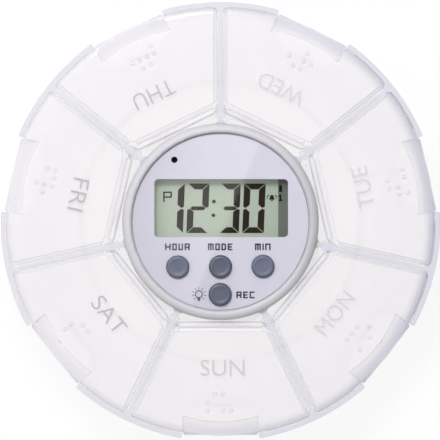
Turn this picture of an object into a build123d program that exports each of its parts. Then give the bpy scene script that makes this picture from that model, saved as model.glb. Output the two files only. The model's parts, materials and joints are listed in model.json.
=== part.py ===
from build123d import *
import math
import os

# Round seven-day pill organiser with a lift-out alarm timer in its hub.
# Millimetres, +Z up, base plane z = 0, axis at the origin, Sunday's compartment toward -Y.

# ---------------------------------------------------------------- driving dimensions
DAYS = ("sun", "mon", "tue", "wed", "thu", "fri", "sat")
STEP_DEG = 360 / len(DAYS)
HALF = math.radians(STEP_DEG / 2)  # half the angle of one compartment
FIRST_DEG = -90.0  # Sunday's direction

# Tray
TRAY_R = 65.0
WALL = 1.5
BASE_Z = 1.0  # underside of the floor, above the foot ring
FLOOR_Z = 2.5  # top of the floor
RIM_Z = 24.0
FOOT_R_IN, FOOT_R_OUT = 41.6, 43.2
BASE_ROUND, RIM_ROUND = 1.2, 0.4
DIVIDER_HALF = 0.6
CORNER_R = 2.0  # upright corners of a compartment
WELL_R = 27.4
HUB_R = 28.9
HUB_TOP_Z = 23.8
DECK_APOTHEM = 29.1
DECK_Z = (21.3, 22.5)
SEAT_Z = 22.75  # where a closed lid rests

# Finger notch in the tray wall, below each lid's lip
NOTCH_HALF = 11.4
NOTCH_R = 15.5
NOTCH_CENTRE = 69.0  # of its arc, from the axis
NOTCH_WALL = 1.3
NOTCH_ROUND = 0.5

# Hinge
AXIS_R = 30.4  # from the tray's axis
AXIS_Z = 23.0
BARREL_R = 1.0
BARREL_HALF = 12.3
PIN_R, PIN_END = 0.6, 14.0
HOLE_R, HOLE_END = 0.65, 14.1
POST_HALF = 1.3
POST_R = (31.8, 35.0)
SPOKE_R, SPOKE_HALF = (29.4, 33.0), 1.6  # where a divider's node parts from hub and walls

# Lid
LID_Z = (22.8, 23.8)
LID_R = 63.2
LID_SIDE = 0.95  # from the divider's centre plane
LID_START = 32.7
LID_CORNER = 0.6
LIP_R = 63.05
LIP_HALF = 11.1
LIP_SKIRT = 1.45
LIP_LOW_Z = 19.4
LIP_CORNER, LIP_EDGE = 0.8, 0.5
PANEL_RISE = 0.4
PANEL_SIDE = 1.92
PANEL_START = 32.4
PANEL_CORNER, PANEL_EDGE, PLATE_EDGE = 1.1, 0.35, 0.25
SHOULDER_R, SHOULDER_ARC = 61.0, 4.0  # the outer edge rolls down from here
THUMB_ARC_R, THUMB_MID = 36.3, 59.2
THUMB_HALF = 10.9
GROOVE_R, GROOVE_WIDE, GROOVE_DEEP = 31.35, 0.4, 0.35
CATCH_GAP, CATCH_THICK, CATCH_LOW_Z, CATCH_HALF = 0.3, 0.8, 21.2, 4.0
DOT_SPHERE, DOT_RISE = 0.85, 0.45
DOT_ROWS = (50.8, 53.3, 55.8)  # from the axis
DOT_COLUMNS = ((-3.9, -1.6), (0.85, 3.15))

# Timer case
CASE_R = 27.1
CASE_WALL = 1.3
BEZEL_R, BEZEL_GAP = 29.0, 0.3
BEZEL_LOW_Z, BEZEL_SIDE_Z, BEZEL_TOP_Z = 23.85, 24.5, 26.65
FACE_SEAT_R = 26.3
PLATE_Z = (23.4, 25.5)
SPLIT_Z = 9.8  # between case front and case back
CASE_LOW_Z, CASE_FLOOR_Z = 1.5, 3.5
KEY_WIDE = 2.4

# Face
FACE_R = 26.1
LABEL_Z = (25.5, 25.65)
LENS_Z = (25.65, 26.4)
WINDOW = (0.2, 4.05, 39.4, 17.1)  # centre x, centre y, width, height
WINDOW_ROUND = 1.2
MIC_AT, MIC_HOLE_R = (-13.6, 18.3), 0.95
BUTTONS = {
    "hour": (-12.6, -13.3),
    "mode": (0.0, -13.2),
    "minute": (12.5, -13.1),
    "record": (-0.1, -21.4),
}
BUTTON_R, BUTTON_HOLE_R, BUTTON_FLANGE_R = 3.3, 3.42, 3.75
BUTTON_SIDE_Z, BUTTON_TOP_Z = 26.45, 27.0
BUTTON_FLANGE_Z = (22.6, 23.35)
BUTTON_STEM_R, BUTTON_STEM_Z = 1.2, 20.3

# Board and display
BOARD_R, BOARD_Z = 25.0, (17.2, 18.2)
FRAME_SIZE, FRAME_CAVITY = (41.0, 21.0), (37.0, 19.4)
GLASS_SIZE, GLASS_Z = (40.6, 20.6), (20.4, 22.2)
LIGHT_SIZE, LIGHT_Z = (36.4, 14.6), (18.3, 20.2)
STRIP_SIZE, STRIP_OFFSET = (36.4, 1.8), 8.6
BOARD_POSTS = ((-21.8, -9.2), (21.8, -9.2), (-5.5, 20.5), (9.0, 20.5))
POST_OUT_R, BOARD_SCREW_R, BOARD_PILOT_R = 2.0, 0.75, 0.8
CASE_POSTS = ((0.0, 23.5), (-15.2, -18.6), (15.2, -18.6))
CASE_POST_R, CASE_POST_SPLIT_Z = 2.1, 12.0
CASE_SCREW_R, CASE_PILOT_R, CASE_BORE_R = 0.95, 1.0, 1.15

# Cells, bay and door
CELL_R, CELL_PITCH, CELL_HALF, CELL_Z = 5.15, 10.8, 22.25, 8.95
NUB_R, NUB_LONG = 1.9, 0.9
BAY = (46.9, 21.5)
BAY_WALL, BAY_ROOF_Z = 1.1, (14.4, 15.4)
BAY_R, BAY_OUT_R = 24.9, 25.7
DOOR, DOOR_R, DOOR_Z = (48.6, 23.2), 25.5, (1.5, 2.7)
DOOR_GAP = 0.2
SPEAKER_AT, SPEAKER_R, SPEAKER_Z = (0.0, -18.6), 6.4, (3.6, 7.6)

ENDS = (-1, 1)


# ---------------------------------------------------------------- helpers
def save(shape, node):
    export_step(shape, f"parts/{node}.step")


def around(shape, index):
    """Turn a shape made along +X to the direction of one day."""
    return Rot(0, 0, FIRST_DEG + STEP_DEG * index) * shape


def prism(sketch, low, high):
    return Pos(0, 0, low) * extrude(sketch, high - low)


def disc(radius, low, high, at=(0, 0)):
    return Pos(at[0], at[1], low) * Cylinder(
        radius, high - low, align=(Align.CENTER, Align.CENTER, Align.MIN)
    )


def block(size, low, high, at=(0, 0)):
    return Pos(at[0], at[1], low) * Box(
        size[0], size[1], high - low, align=(Align.CENTER, Align.CENTER, Align.MIN)
    )


def span(x_low, x_high, half):
    """A rectangle along +X, centred on it."""
    return Pos((x_low + x_high) / 2, 0) * Rectangle(x_high - x_low, 2 * half)


def wedge(side):
    """The sector between two dividers, kept back from their centre planes by side."""
    far = 90.0
    half = far * math.tan(HALF) - side / math.cos(HALF)
    return Polygon((side / math.sin(HALF), 0), (far, -half), (far, half), align=None)


def notch(grow=0.0):
    """Plan of the finger notch: two straight sides and an arc toward the hub."""
    half, radius = NOTCH_HALF + grow, NOTCH_R + grow
    corner = NOTCH_CENTRE - math.sqrt(radius**2 - half**2)
    arc = (Pos(NOTCH_CENTRE, 0) * Circle(radius)) & span(40, corner, half)
    return arc + span(corner, 80, half)


def rod(radius, start, end, y=0.0, z=0.0):
    """A round bar along X."""
    return Pos(start, y, z) * Rot(0, 90, 0) * Cylinder(
        radius, end - start, align=(Align.CENTER, Align.CENTER, Align.MIN)
    )


def cross_rod(radius, start, end, x, z):
    """A round bar along Y."""
    return Pos(x, start, z) * Rot(-90, 0, 0) * Cylinder(
        radius, end - start, align=(Align.CENTER, Align.CENTER, Align.MIN)
    )


def window(grow=0.0):
    x, y, wide, high = WINDOW
    return Pos(x, y) * RectangleRounded(wide + 2 * grow, high + 2 * grow, WINDOW_ROUND)


# ---------------------------------------------------------------- tray
def tray():
    outline = Circle(TRAY_R)
    for i in range(len(DAYS)):
        outline -= around(notch(), i)
    outline = fillet(outline.vertices(), NOTCH_ROUND)
    body = prism(outline, BASE_Z, RIM_Z)
    body = fillet(body.faces().sort_by(Axis.Z)[0].edges(), BASE_ROUND)
    body = fillet(body.faces().sort_by(Axis.Z)[-1].edges(), RIM_ROUND)

    cell = (wedge(DIVIDER_HALF) & Circle(TRAY_R - WALL)) - Circle(HUB_R) - notch(NOTCH_WALL)
    cell = prism(fillet(cell.vertices(), CORNER_R), FLOOR_Z, RIM_Z + 1)
    seat = (wedge(DIVIDER_HALF) & Circle(TRAY_R - WALL)) - Circle(HUB_R)
    seat = prism(seat, SEAT_Z, RIM_Z + 1)
    for i in range(len(DAYS)):
        body -= around(cell, i)
        body -= around(seat, i)

    deck = RegularPolygon(DECK_APOTHEM / math.cos(HALF), len(DAYS), rotation=90)
    body += prism(deck - Circle(WELL_R + WALL / 2), *DECK_Z)
    post = prism(span(*POST_R, POST_HALF), FLOOR_Z / 2, RIM_Z)
    hole = cross_rod(HOLE_R, BARREL_HALF, HOLE_END, AXIS_R, AXIS_Z)
    hole += cross_rod(HOLE_R, -HOLE_END, -BARREL_HALF, AXIS_R, AXIS_Z)
    for i in range(len(DAYS)):
        body += around(Rot(0, 0, STEP_DEG / 2) * post, i)
    for i in range(len(DAYS)):
        body -= around(hole, i)
    body += prism(Circle(FOOT_R_OUT) - Circle(FOOT_R_IN), 0, FLOOR_Z / 2)

    body -= disc(WELL_R, 0, RIM_Z + 1)
    body -= disc(BEZEL_R + BEZEL_GAP, HUB_TOP_Z, RIM_Z + 1)
    key_slot = block((KEY_WIDE + 0.6, 2.4), PLATE_Z[0] - 2, RIM_Z + 1, (0, WELL_R))
    return body - key_slot


def tray_nodes():
    """The one moulding as floor, hub, dividers and walls, which meet face to face."""
    body = tray()
    hub = Circle(SPOKE_R[0])
    spokes = Circle(SPOKE_R[1]) - hub
    for i in range(len(DAYS)):
        strip = span(SPOKE_R[0] - 1, TRAY_R + 1, SPOKE_HALF) - hub
        spokes += around(Rot(0, 0, STEP_DEG / 2) * strip, i)
    outer = Circle(TRAY_R + 1) - hub
    floor = body & prism(outer, BASE_Z, FLOOR_Z)
    floors = [body & prism(outer, 0, BASE_Z)]
    for i in range(len(DAYS)):
        floors.append(floor & around(prism(wedge(0.0), 0, RIM_Z), i))
    return {
        "tray_floor": Compound(children=[f.solid() for f in floors]),
        "tray_hub": body & prism(hub, 0, RIM_Z + 1),
        "tray_dividers": body & prism(spokes, FLOOR_Z, RIM_Z + 1),
        "tray_walls": body & prism(outer - spokes, FLOOR_Z, RIM_Z + 1),
    }


# ---------------------------------------------------------------- lids
BRAILLE = {"a": "1", "e": "15", "f": "124", "h": "125", "m": "134", "o": "135"}
BRAILLE |= {"r": "1235", "s": "234", "t": "2345", "u": "136", "w": "2456"}


def dots(day):
    """Touch marks: the first two letters of the day, read with the hub upward."""
    found = []
    for letter, columns in zip(day, DOT_COLUMNS):
        for number in BRAILLE[letter]:
            column, row = divmod(int(number) - 1, len(DOT_ROWS))
            found.append((DOT_ROWS[row], columns[column]))
    return found


def lid_plan(side, start):
    return (wedge(side) & Circle(LID_R)) & span(start, LID_R, TRAY_R)


def lip_plan(start):
    lip = span(start, LIP_R, LIP_HALF)
    return fillet(lip.vertices().sort_by(Axis.X)[-2:], LIP_CORNER)


def under_shoulder():
    """Everything under the roll-off of the lids' outer edge."""
    top = LID_Z[1] + PANEL_RISE
    arc = [
        (SHOULDER_R + SHOULDER_ARC * math.sin(a), top - SHOULDER_ARC * (1 - math.cos(a)))
        for a in (0.0, 0.4, 0.85)
    ]
    base = (arc[2][0], LIP_LOW_Z - 1)
    edges = [
        Polyline((SHOULDER_R, RIM_Z + 2), (0, RIM_Z + 2), (0, LIP_LOW_Z - 1), base, arc[2]),
        ThreePointArc(arc[2], arc[1], arc[0]),
        Line(arc[0], (SHOULDER_R, RIM_Z + 2)),
    ]
    return revolve(Plane.XZ * make_face(edges), Axis.Z)


def top_edges(plate):
    """The upper edges of a lid's layer, less those in its rolled outer edge."""
    edges = plate.edges().group_by(Axis.Z)[-1]
    return edges.filter_by(lambda e: math.hypot((e @ 0.5).X, (e @ 0.5).Y) < LID_R - 1.5)


def lid(day):
    low, top = LID_Z
    plate = fillet(lid_plan(LID_SIDE, LID_START).vertices(), LID_CORNER)
    plate = prism(plate + lip_plan(TRAY_R - 15), low, top)
    plate = fillet(top_edges(plate), PLATE_EDGE)
    plate += prism(span(AXIS_R, LID_START + 1, BARREL_HALF), low, top)

    thumb = span(TRAY_R - 15, TRAY_R, THUMB_HALF)
    thumb -= Pos(THUMB_MID - THUMB_ARC_R, 0) * Circle(THUMB_ARC_R)
    panel = lid_plan(PANEL_SIDE, PANEL_START)
    panel = fillet(panel.vertices().sort_by(Axis.X)[:2], PANEL_CORNER) - thumb
    panel = prism(panel, low, top + PANEL_RISE)
    shell = (plate + fillet(top_edges(panel), PANEL_EDGE)) & under_shoulder()
    lip = prism(lip_plan(LIP_R - LIP_SKIRT), LIP_LOW_Z, low)
    shell += fillet(lip.edges().group_by(Axis.Z)[0], LIP_EDGE)

    catch = Circle(NOTCH_R - CATCH_GAP) - Circle(NOTCH_R - CATCH_GAP - CATCH_THICK)
    catch = (Pos(NOTCH_CENTRE, 0) * catch) & span(50, NOTCH_CENTRE, CATCH_HALF)
    shell += prism(catch, CATCH_LOW_Z, low)

    shell += cross_rod(BARREL_R, -BARREL_HALF, BARREL_HALF, AXIS_R, AXIS_Z)
    shell += cross_rod(PIN_R, -PIN_END, PIN_END, AXIS_R, AXIS_Z)
    shell -= Pos(GROOVE_R, 0, top) * Box(GROOVE_WIDE, 2 * PIN_END, 2 * GROOVE_DEEP)
    for x, y in dots(day):
        shell += Pos(x, y, top + PANEL_RISE + DOT_RISE - DOT_SPHERE) * Sphere(DOT_SPHERE)
    return shell


# ---------------------------------------------------------------- timer case and face
def case_front():
    inner = CASE_R - CASE_WALL
    crown = (27.0, BEZEL_TOP_Z)
    outline = Polyline(
        (CASE_R, BEZEL_LOW_Z), (BEZEL_R, BEZEL_LOW_Z), (BEZEL_R, BEZEL_SIDE_Z)
    )
    outline += ThreePointArc((BEZEL_R, BEZEL_SIDE_Z), (28.45, 26.05), crown)
    outline += Polyline(
        crown,
        (FACE_SEAT_R, BEZEL_TOP_Z - 0.2),
        (FACE_SEAT_R, PLATE_Z[1]),
        (0, PLATE_Z[1]),
        (0, PLATE_Z[0]),
        (inner, PLATE_Z[0]),
        (inner, SPLIT_Z),
        (CASE_R, SPLIT_Z),
        (CASE_R, BEZEL_LOW_Z),
    )
    shell = revolve(Plane.XZ * make_face(outline), Axis.Z)
    shell += prism(window(1.2) - window(0.4), GLASS_Z[1] + 0.1, PLATE_Z[0])
    bound = disc(inner + CASE_WALL / 2, CASE_POST_SPLIT_Z, PLATE_Z[0])
    for at in CASE_POSTS:
        shell += disc(CASE_POST_R, CASE_POST_SPLIT_Z, PLATE_Z[0], at) & bound
    for at in BOARD_POSTS:
        shell += disc(POST_OUT_R, BOARD_Z[1], PLATE_Z[0], at) & bound
    for at in CASE_POSTS:
        shell -= disc(CASE_PILOT_R, CASE_POST_SPLIT_Z, 18.0, at)
    for at in BOARD_POSTS:
        shell -= disc(BOARD_PILOT_R, BOARD_Z[1], 22.4, at)
    shell -= prism(window(0.4), GLASS_Z[1], PLATE_Z[1] + 1)
    for at in BUTTONS.values():
        shell -= disc(BUTTON_HOLE_R, PLATE_Z[0], PLATE_Z[1] + 1, at)
    shell -= disc(MIC_HOLE_R, PLATE_Z[0], PLATE_Z[1] + 1, MIC_AT)
    key = block((KEY_WIDE, 1.2), PLATE_Z[0] - 1.6, BEZEL_LOW_Z, (0, CASE_R + 0.4))
    return shell + key


def face_sheet(low, high, has_window):
    sheet = disc(FACE_R, low, high)
    for at in BUTTONS.values():
        sheet -= disc(BUTTON_HOLE_R, low, high, at)
    sheet -= disc(MIC_HOLE_R, low, high, MIC_AT)
    return sheet - prism(window(), low, high) if has_window else sheet


def button(at):
    rise = BUTTON_TOP_Z - BUTTON_SIDE_Z
    dome = (BUTTON_R**2 + rise**2) / (2 * rise)
    outline = Polyline(
        (0, BUTTON_STEM_Z),
        (BUTTON_STEM_R, BUTTON_STEM_Z),
        (BUTTON_STEM_R, BUTTON_FLANGE_Z[0]),
        (BUTTON_FLANGE_R, BUTTON_FLANGE_Z[0]),
        (BUTTON_FLANGE_R, BUTTON_FLANGE_Z[1]),
        (BUTTON_R, BUTTON_FLANGE_Z[1]),
        (BUTTON_R, BUTTON_SIDE_Z),
    )
    middle = BUTTON_R / 2
    middle_z = BUTTON_TOP_Z - dome + math.sqrt(dome**2 - middle**2)
    outline += ThreePointArc(
        (BUTTON_R, BUTTON_SIDE_Z), (middle, middle_z), (0, BUTTON_TOP_Z)
    )
    outline += Line((0, BUTTON_TOP_Z), (0, BUTTON_STEM_Z))
    return Pos(*at, 0) * revolve(Plane.XZ * make_face(outline), Axis.Z)


def case_back():
    inner = CASE_R - CASE_WALL
    shell = disc(CASE_R, CASE_LOW_Z, SPLIT_Z - 0.05)
    shell -= disc(inner, CASE_FLOOR_Z, SPLIT_Z)
    tub = block([size + 2 * BAY_WALL for size in BAY], CASE_FLOOR_Z, BAY_ROOF_Z[1])
    shell += tub & disc(BAY_OUT_R, CASE_FLOOR_Z, BAY_ROOF_Z[1])
    for at in CASE_POSTS:
        post = disc(CASE_POST_R, CASE_FLOOR_Z, CASE_POST_SPLIT_Z - 0.05, at)
        shell += post & disc(BAY_OUT_R, CASE_FLOOR_Z, CASE_POST_SPLIT_Z)
    for at in CASE_POSTS:
        shell -= disc(CASE_BORE_R, CASE_LOW_Z, CASE_POST_SPLIT_Z, at)
        shell -= disc(2 * CASE_SCREW_R + 0.1, CASE_LOW_Z, CASE_LOW_Z + 1.3, at)
    shell -= block(BAY, CASE_LOW_Z, BAY_ROOF_Z[0]) & disc(BAY_R, CASE_LOW_Z, BAY_ROOF_Z[0])
    seat = [size + 2 * DOOR_GAP for size in DOOR]
    shell -= block(seat, *DOOR_Z) & disc(DOOR_R + DOOR_GAP, *DOOR_Z)
    ring_z = (CASE_FLOOR_Z, SPEAKER_Z[0] + 1.4)
    shell += disc(SPEAKER_R + 0.9, *ring_z, SPEAKER_AT) - disc(
        SPEAKER_R + 0.1, *ring_z, SPEAKER_AT
    )
    holes = [SPEAKER_AT] + [
        (SPEAKER_AT[0] + 2.6 * math.cos(a), SPEAKER_AT[1] + 2.6 * math.sin(a))
        for a in (math.radians(60 * k) for k in range(6))
    ]
    for at in holes:
        shell -= disc(0.6, CASE_LOW_Z, CASE_FLOOR_Z, at)
    return shell


def battery_door():
    plate = block(DOOR, *DOOR_Z) & disc(DOOR_R, *DOOR_Z)
    for y in (-CELL_PITCH / 2, CELL_PITCH / 2):
        for x in (-12.0, 12.0):
            plate += block((1.2, 6.0), DOOR_Z[1], DOOR_Z[1] + 0.9, (x, y))
    for k in range(4):
        groove = Box(1.0, 10.0, 0.6)
        plate -= Pos(14.0 + 2 * k, 0, DOOR_Z[0]) * groove
    return plate


# ---------------------------------------------------------------- board, display and sound
def board():
    plate = disc(BOARD_R, *BOARD_Z)
    for at in CASE_POSTS:
        plate -= disc(CASE_POST_R + 0.3, *BOARD_Z, at)
    for at in BOARD_POSTS:
        plate -= disc(BOARD_SCREW_R + 0.2, *BOARD_Z, at)
    return plate


def switches():
    found = []
    for at in BUTTONS.values():
        body = block((4.6, 4.6), BOARD_Z[1], BOARD_Z[1] + 0.9, at)
        found.append(body + disc(1.3, BOARD_Z[1] + 0.9, BUTTON_STEM_Z - 0.7, at))
    return Compound(children=found)


def screws(places, radius, head_z, tip_z):
    """Pan-head screws driven upward, each with a cross recess."""
    found = []
    for at in places:
        head = disc(2 * radius, head_z, head_z + 1.1, at)
        head -= block((2.2 * radius, 0.35), head_z, head_z + 0.5, at)
        head -= block((0.35, 2.2 * radius), head_z, head_z + 0.5, at)
        found.append(head + disc(radius, head_z + 1.1, tip_z, at))
    return Compound(children=found)


def cell(side):
    start, end = (-CELL_HALF, CELL_HALF) if side > 0 else (CELL_HALF, -CELL_HALF)
    y = side * CELL_PITCH / 2
    low, high = sorted((start, end - side * NUB_LONG))
    body = fillet(rod(CELL_R, low, high, y, CELL_Z).edges(), 0.4)
    low, high = sorted((end - side * (NUB_LONG + 0.5), end))
    return body + rod(NUB_R, low, high, y, CELL_Z)


def contact_plates():
    found = []
    for end in ENDS:
        for side in ENDS:
            y = side * CELL_PITCH / 2
            plate = Pos(end * 23.17, y, CELL_Z) * Box(0.24, 6.4, 7.0)
            if end == side:
                low, high = sorted((end * (CELL_HALF + 0.05), end * 23.17))
                plate += rod(1.6, low, high, y, CELL_Z)
            found.append(plate)
    return Compound(children=found)


def contact_springs():
    """A short coil at each cell's flat end."""
    found = []
    for side in ENDS:
        path = Helix(pitch=0.28, height=0.4, radius=2.4)
        start = Plane(origin=path @ 0, z_dir=path % 0)
        coil = sweep(start * Circle(0.12), path=path, is_frenet=True)
        place = Pos(-side * 22.43, side * CELL_PITCH / 2, CELL_Z)
        found.append(place * Rot(0, -side * 90, 0) * coil)
    return Compound(children=found)


def leads():
    """Four soft wires: two up from the speaker and two up from the cell contacts."""
    ends = []
    for side in ENDS:
        x = SPEAKER_AT[0] + 2.2 * side
        ends.append([(x, -16.6, 8.2), (x + 1.8 * side, -15.0, 12.4), (x + 1.0 * side, -15.8, 16.7)])
        x = 7.5 * side
        ends.append([(x, 13.6, 5.0), (x + 0.8 * side, 14.2, 11.0), (x, 13.8, 16.7)])
    found = []
    for points in ends:
        path = Spline(*points)
        start = Plane(origin=path @ 0, z_dir=path % 0)
        found.append(sweep(start * Circle(0.45), path=path))
    return Compound(children=found)


def speaker():
    low, high = SPEAKER_Z
    can = disc(SPEAKER_R, low, low + 1.8, SPEAKER_AT)
    return can + disc(4.2, low + 1.8, high, SPEAKER_AT)


def display(size, low, high, offset=0.0):
    return block(size, low, high, (WINDOW[0], WINDOW[1] + offset))


def main():
    os.makedirs("parts", exist_ok=True)
    for node, shape in tray_nodes().items():
        save(shape, node)
    for i, day in enumerate(DAYS):
        save(around(lid(day), i), f"lid_{day}")

    save(case_front(), "case_front")
    save(case_back(), "case_back")
    save(battery_door(), "battery_door")
    save(face_sheet(*LABEL_Z, True), "face_label")
    save(face_sheet(*LENS_Z, False), "face_lens")
    for name, at in BUTTONS.items():
        save(button(at), f"button_{name}")

    frame_z = (BOARD_Z[1], GLASS_Z[0])
    frame = display(FRAME_SIZE, *frame_z) - display(FRAME_CAVITY, *frame_z)
    save(frame, "display_frame")
    save(display(GLASS_SIZE, *GLASS_Z), "display_glass")
    save(display(LIGHT_SIZE, *LIGHT_Z), "display_backlight")
    strips = [display(STRIP_SIZE, *frame_z, offset=s * STRIP_OFFSET) for s in ENDS]
    save(Compound(children=strips), "contact_strips")

    save(board(), "circuit_board")
    save(switches(), "switches")
    save(fillet(disc(4.0, 16.0, BOARD_Z[0], (0, 2)).edges().sort_by(Axis.Z)[0], 0.8), "main_chip")
    save(rod(0.75, -9.0, -3.0, 8.0, BOARD_Z[0] - 0.75), "crystal")
    save(disc(2.5, 9.5, BOARD_Z[0], (-15.4, 14.6)), "capacitor")
    save(disc(2.0, BOARD_Z[1] + 2.6, PLATE_Z[0] - 0.1, MIC_AT), "microphone")
    boot_z = (BOARD_Z[1], PLATE_Z[0])
    boot = disc(2.5, *boot_z, MIC_AT) - disc(2.02, *boot_z, MIC_AT)
    save(boot, "microphone_boot")
    save(speaker(), "speaker")
    save(leads(), "leads")

    save(cell(1), "cell_rear")
    save(cell(-1), "cell_front")
    save(contact_plates(), "contact_plates")
    save(contact_springs(), "contact_springs")
    save(screws(BOARD_POSTS, BOARD_SCREW_R, BOARD_Z[0] - 1.1, 22.0), "board_screws")
    save(screws(CASE_POSTS, CASE_SCREW_R, CASE_LOW_Z + 0.2, 17.5), "case_screws")


main()
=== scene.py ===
import json
import math

import bmesh
import bpy
from mathutils import Matrix, Vector


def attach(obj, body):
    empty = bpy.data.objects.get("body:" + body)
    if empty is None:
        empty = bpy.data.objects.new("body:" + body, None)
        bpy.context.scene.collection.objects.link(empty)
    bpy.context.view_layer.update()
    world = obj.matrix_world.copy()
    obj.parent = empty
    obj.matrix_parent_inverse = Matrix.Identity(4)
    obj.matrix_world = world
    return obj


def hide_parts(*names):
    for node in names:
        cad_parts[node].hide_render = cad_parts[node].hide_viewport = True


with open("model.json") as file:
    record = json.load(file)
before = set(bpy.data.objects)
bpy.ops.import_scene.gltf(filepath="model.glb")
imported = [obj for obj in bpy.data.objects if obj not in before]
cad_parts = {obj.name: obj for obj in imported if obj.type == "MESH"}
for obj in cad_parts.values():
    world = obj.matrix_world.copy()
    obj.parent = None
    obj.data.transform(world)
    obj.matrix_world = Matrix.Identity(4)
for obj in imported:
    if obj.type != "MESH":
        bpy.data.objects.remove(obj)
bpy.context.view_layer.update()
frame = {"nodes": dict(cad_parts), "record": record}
scene = bpy.context.scene
MM = 0.001

# ---------------------------------------------------------------- camera
# The organiser lies on a table and is seen from straight above, from 0.9 m,
# a few tenths of a millimetre to one side of the hub's axis.
EYE = (-0.15 * MM, 0.55 * MM, 0.90)
RIM_HEIGHT, SEEN_WIDE = 24.0 * MM, 130.0 * MM
scene.view_settings.view_transform = "Standard"
camera = bpy.data.objects.new("camera", bpy.data.cameras.new("camera"))
scene.collection.objects.link(camera)
scene.camera = camera
camera.location = EYE
camera.data.sensor_width = 36
camera.data.lens = camera.data.sensor_width * (EYE[2] - RIM_HEIGHT) / SEEN_WIDE

# ---------------------------------------------------------------- table and light
# A plain white table top that shows white to the eye and keeps the organiser's
# soft shadow, an even white room, and two soft lamps overhead.
TABLE_HALF, TABLE_DROP = 3.0, 0.02 * MM
SHOWN_WHITE = 0.86  # how much of the table's white is its own glow, for eye, mirror and glass


class Shade:
    """A socket of a material's nodes, on which Python arithmetic adds Math nodes."""

    def __init__(self, tree, socket=None):
        self.tree, self.socket = tree, socket

    def make(self, kind, settings=None, plugs=None, out=0):
        """Add a node: settings first, then a value or a Shade for each socket."""
        node = self.tree.nodes.new("ShaderNode" + kind)
        for name, value in (settings or {}).items():
            setattr(node, name, value)
        for name, value in (plugs or {}).items():
            if isinstance(value, Shade):
                self.tree.links.new(value.socket, node.inputs[name])
            else:
                node.inputs[name].default_value = value
        return Shade(self.tree, node.outputs[out])

    def maths(self, operation, first, second=0.0):
        return self.make("Math", {"operation": operation}, {0: first, 1: second})

    def __add__(self, other):
        return self.maths("ADD", self, other)

    def __sub__(self, other):
        return self.maths("SUBTRACT", self, other)

    def __mul__(self, other):
        return self.maths("MULTIPLY", self, other)

    def __pow__(self, other):
        return self.maths("POWER", self, other)

    def __gt__(self, other):
        return self.maths("GREATER_THAN", self, other)

    def __rsub__(self, other):
        return self.maths("SUBTRACT", other, self)

    __radd__, __rmul__ = __add__, __mul__

    def either(self, other):
        return self.maths("MAXIMUM", self, other)

    def size(self):
        return self.maths("ABSOLUTE", self)

    def place(self):
        """Where a point lies: Object coordinates, in metres."""
        return self.make("TexCoord", out="Object")

    def axis(self, letter):
        return self.make("SeparateXYZ", plugs={0: self}, out=letter)

    def dot(self, vector):
        return self.make("VectorMath", {"operation": "DOT_PRODUCT"}, {0: self, 1: vector}, "Value")

    def noise(self, scale, detail=2.0):
        """A grain or a cloud in the place that this Shade holds."""
        return self.make("TexNoise", plugs={"Vector": self, "Scale": scale, "Detail": detail})

    def bump(self, strength, distance):
        """A Normal from this value as a height."""
        return self.make("Bump", plugs={"Height": self, "Strength": strength, "Distance": distance})

    def blend(self, low, high):
        """A colour that goes from low to high as this value goes from 0 to 1. A Mix node's
        colours are its sockets 6 and 7, and its colour comes out of socket 2."""
        low, high = ((*end, 1) if isinstance(end, tuple) else end for end in (low, high))
        return self.make("Mix", {"data_type": "RGBA"}, {0: self, 6: low, 7: high}, 2)


def new_material(name):
    """An empty material with one Principled shader, as a Shade and that shader's sockets."""
    material = bpy.data.materials.new(name)
    material.use_nodes = True
    return material, Shade(material.node_tree), material.node_tree.nodes["Principled BSDF"].inputs


def put(shade, socket):
    shade.tree.links.new(shade.socket, socket)


def keep(name, bm, material):
    """Close a bmesh into a named object at the origin."""
    mesh = bpy.data.meshes.new(name)
    bm.to_mesh(mesh)
    bm.free()
    mesh.materials.append(material)
    piece = bpy.data.objects.new(name, mesh)
    scene.collection.objects.link(piece)
    return piece


white_table, shade, plugs = new_material("white_table")
plugs["Base Color"].default_value = (0.80, 0.80, 0.80, 1)
plugs["Roughness"].default_value = 0.9
sockets = ("Is Camera Ray", "Is Glossy Ray", "Is Transmission Ray")
seen, mirrored, through = (shade.make("LightPath", out=socket) for socket in sockets)
glow = shade.make("Emission", plugs={"Color": (1, 1, 1, 1), "Strength": 1.0})
lit = Shade(shade.tree, white_table.node_tree.nodes["Principled BSDF"].outputs[0])
looked_at = seen.either(mirrored).either(through) * SHOWN_WHITE
above = shade.make("MixShader", plugs={0: looked_at, 1: lit, 2: glow})
underneath = shade.make("NewGeometry", out="Backfacing")
both = shade.make("MixShader", plugs={0: underneath, 1: above, 2: shade.make("BsdfTransparent")})
put(both, white_table.node_tree.nodes["Material Output"].inputs["Surface"])
bm = bmesh.new()
bmesh.ops.create_grid(bm, x_segments=1, y_segments=1, size=TABLE_HALF)
bmesh.ops.translate(bm, verts=bm.verts, vec=(0, 0, -TABLE_DROP))
table = keep("table_top", bm, white_table)

room = bpy.data.worlds.new("white_room")
scene.world = room
room.use_nodes = True
white = room.node_tree.nodes["Background"].inputs
white["Color"].default_value = (1.0, 1.0, 1.0, 1)
white["Strength"].default_value = 0.72


def hang_lamp(name, place, side, watts):
    """A square lamp that faces the hub."""
    lamp = bpy.data.lights.new(name, "AREA")
    lamp.shape, lamp.size, lamp.energy = "SQUARE", side, watts
    hung = bpy.data.objects.new(name, lamp)
    scene.collection.objects.link(hung)
    hung.location = place
    hung.rotation_euler = (-Vector(place)).to_track_quat("-Z", "Y").to_euler()


hang_lamp("soft_box", (-0.15, 0.52, 0.90), 0.30, 6.6)
hang_lamp("window_light", (-0.66, 0.34, 0.84), 0.60, 2.3)

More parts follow.
